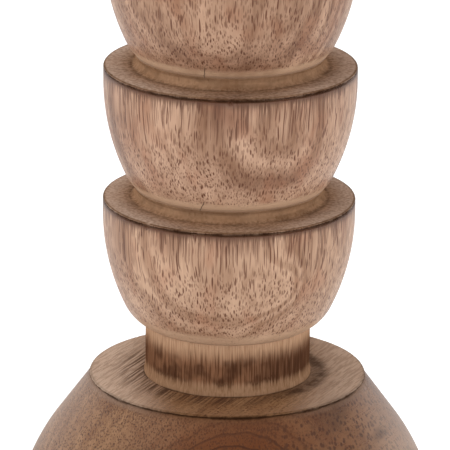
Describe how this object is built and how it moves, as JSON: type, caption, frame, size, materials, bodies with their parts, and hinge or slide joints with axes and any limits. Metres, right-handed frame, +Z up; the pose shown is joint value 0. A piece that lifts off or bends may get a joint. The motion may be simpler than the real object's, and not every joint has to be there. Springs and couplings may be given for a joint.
{
  "type": "pricket candle stand",
  "caption": "Turned wooden candle stand: stacked bowls on a short neck and domed base, with a candle dish, a lift-out iron drip pan and an iron spike on a tie rod.",
  "frame": {"origin": "on the axis of the stand, in the plane where the felt feet meet the table", "axes": "+Z up along the axis of the turned pieces; X and Y are level, with two feet on each diagonal"},
  "size_m": [0.1208, 0.1208, 0.2495],
  "materials": {
    "column_wood": "waxed, upright grain",
    "base_wood": "waxed, flat grain",
    "iron": "blackened, satin",
    "zinced_steel": "zinc plated",
    "felt": "dark felt"
  },
  "bodies": {
    "stand": {"base": "base_wood", "lower_bowl": "column_wood", "middle_bowl": "column_wood", "upper_bowl": "column_wood", "candle_dish": "column_wood", "pricket": "iron", "tie_rod": "zinced_steel", "base_nut": "zinced_steel", "spring_washer": "zinced_steel", "base_washer": "zinced_steel", "felt_feet": "felt"},
    "pan": {"drip_pan": "iron"}
  },
  "joints": [
    {"name": "pan_lift", "type": "slide", "parent": "stand", "child": "pan", "axis": [0, 0, 1], "range_m": [0, 0.048]}
  ]
}
